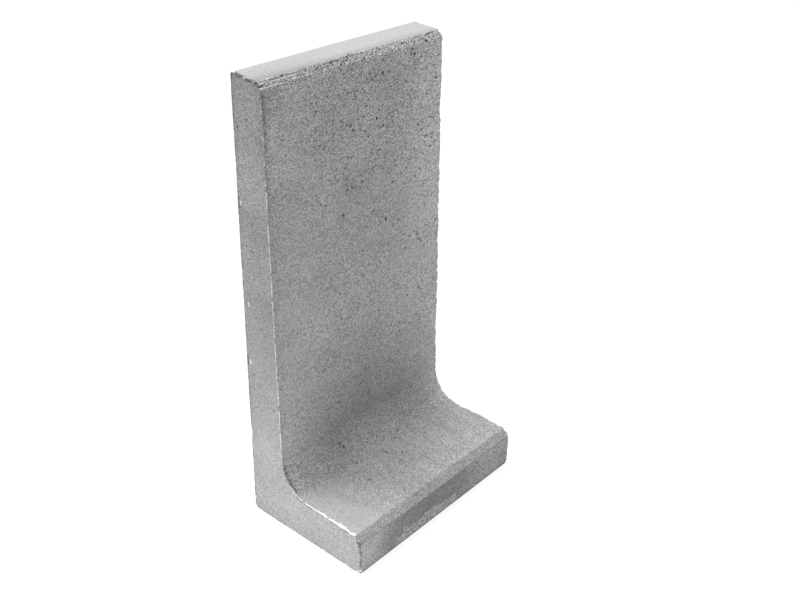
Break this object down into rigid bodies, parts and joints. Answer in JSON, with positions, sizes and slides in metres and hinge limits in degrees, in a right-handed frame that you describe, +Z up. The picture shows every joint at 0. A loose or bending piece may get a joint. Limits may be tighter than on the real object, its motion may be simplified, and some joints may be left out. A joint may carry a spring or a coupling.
{
  "type": "l-shaped retaining block",
  "caption": "One-piece concrete L-shaped retaining block: an upright wall with a drafted inner face, a flat foot and a wide cove between them.",
  "frame": {"origin": "centre of the bounding box at the level of the base, so the block stands on the floor", "axes": "+Z up the wall, +X along the wall's width, +Y out of the wall's outer face; the foot points to -Y"},
  "size_m": [0.4, 0.25, 0.78],
  "materials": {
    "concrete": "matte"
  },
  "bodies": {
    "root": {"l_block": "concrete"}
  },
  "joints": []
}
